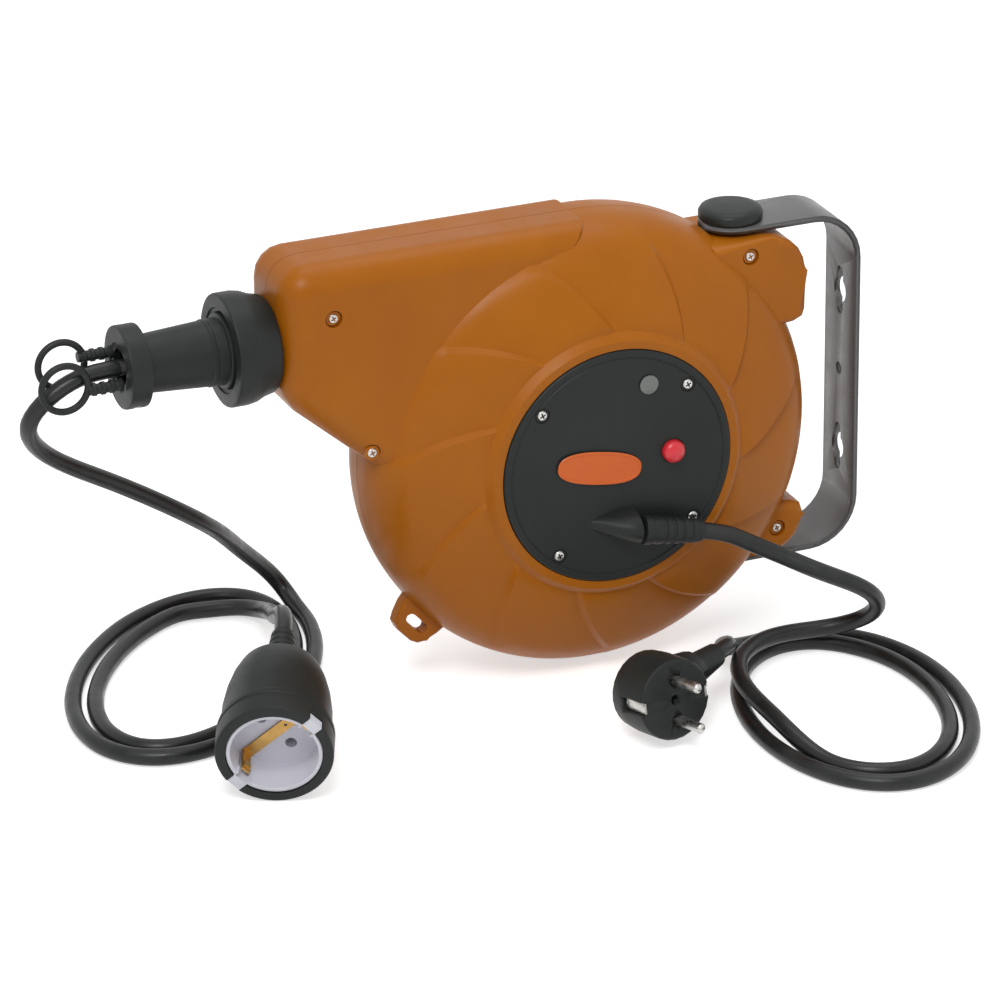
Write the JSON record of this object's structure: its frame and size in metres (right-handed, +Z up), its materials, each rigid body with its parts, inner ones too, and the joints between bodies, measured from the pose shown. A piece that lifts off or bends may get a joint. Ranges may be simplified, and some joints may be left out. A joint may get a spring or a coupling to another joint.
{
  "type": "extension cord reel",
  "caption": "Enclosed spring-rewind extension cord reel on a swivelling wall bracket, with a guided cable outlet, a coupling socket and a mains plug on free cords.",
  "frame": {"origin": "centre of the wall-side face of the bracket, level with the drum axis", "axes": "+X into the wall, -Y towards the front cover, +Z up"},
  "size_m": [0.4089, 0.3219, 0.222],
  "materials": {
    "ochre_plastic": "fine moulded texture, soft sheen",
    "black_plastic": "fine moulded texture",
    "black_cable": "smooth sheath with a soft shine",
    "bright_steel": "zinc plated",
    "painted_strap": "satin powder coat",
    "brass": "plain",
    "white_insert": "smooth",
    "red_button": "smooth",
    "grey_plastic": "smooth"
  },
  "bodies": {
    "bracket": {"wall_bracket": "painted_strap", "top_pivot_bolt": "bright_steel", "bottom_pivot_bolt": "bright_steel", "top_pivot_cap": "black_plastic"},
    "housing": {"arbor_shaft": "bright_steel", "badge_plate": "ochre_plastic", "bottom_pivot_bush": "black_plastic", "brush_block": "black_plastic", "collar_screw_1": "bright_steel", "collar_screw_2": "bright_steel", "connector_earth_strap": "brass", "connector_insert": "white_insert", "connector_shell": "black_plastic", "connector_strain_relief": "black_plastic", "cover_screw_1": "bright_steel", "cover_screw_2": "bright_steel", "cover_screw_3": "bright_steel", "cover_screw_4": "bright_steel", "front_cover": "black_plastic", "front_shell": "ochre_plastic", "guide_loop_front": "black_plastic", "guide_loop_rear": "black_plastic", "indicator_lens": "grey_plastic", "lug_screw_lower": "bright_steel", "lug_screw_upper": "bright_steel", "nose_barrel": "black_plastic", "nose_bell": "black_plastic", "nose_collar": "black_plastic", "nose_screw_lower": "bright_steel", "nose_screw_upper": "bright_steel", "outlet_cord_coil": "black_cable", "outlet_cord_inner": "black_cable", "outlet_cord_lead": "black_cable", "outlet_cord_tail": "black_cable", "pawl_pin": "bright_steel", "plug_body": "black_plastic", "plug_earth_clip": "bright_steel", "plug_pin_lower": "bright_steel", "plug_pin_upper": "bright_steel", "rear_shell": "ochre_plastic", "roller_pin_lower": "bright_steel", "roller_pin_upper": "bright_steel", "supply_cord_coil": "black_cable", "supply_cord_lead": "black_cable", "supply_cord_tail": "black_cable", "supply_strain_relief": "black_plastic", "thermal_cutout": "black_plastic", "top_pivot_bush": "black_plastic"},
    "drum": {"drum_front_half": "black_plastic", "drum_rear_half": "black_plastic", "wound_cable": "black_cable", "slip_ring_1": "brass", "slip_ring_2": "brass", "slip_ring_3": "brass", "rewind_spring": "bright_steel", "ratchet_wheel": "bright_steel"},
    "button": {"reset_button": "red_button"},
    "pawl": {"ratchet_pawl": "bright_steel"},
    "upper_roller": {"guide_roller_upper": "grey_plastic"},
    "lower_roller": {"guide_roller_lower": "grey_plastic"}
  },
  "joints": [
    {"name": "swivel", "type": "hinge", "parent": "bracket", "child": "housing", "pos_m": [-0.06, 0, 0], "axis": [0, 0, 1], "range_deg": [-45, 45]},
    {"name": "drum_spin", "type": "hinge", "parent": "housing", "child": "drum", "pos_m": [-0.137, 0, 0], "axis": [0, 1, 0], "continuous": true},
    {"name": "reset_press", "type": "slide", "parent": "housing", "child": "button", "axis": [0, 1, 0], "range_m": [0, 0.002], "stiffness_N_per_m": 300, "springref_m": -0.001},
    {"name": "pawl_lift", "type": "hinge", "parent": "housing", "child": "pawl", "pos_m": [-0.109, 0, 0.053], "axis": [0, 1, 0], "range_deg": [0, 15], "stiffness_Nm_per_rad": 0.02, "springref_deg": -17.19},
    {"name": "upper_roller_spin", "type": "hinge", "parent": "housing", "child": "upper_roller", "pos_m": [-0.2785, 0, 0.0791], "axis": [0, 1, 0], "continuous": true},
    {"name": "lower_roller_spin", "type": "hinge", "parent": "housing", "child": "lower_roller", "pos_m": [-0.2785, 0, 0.0599], "axis": [0, 1, 0], "continuous": true}
  ]
}
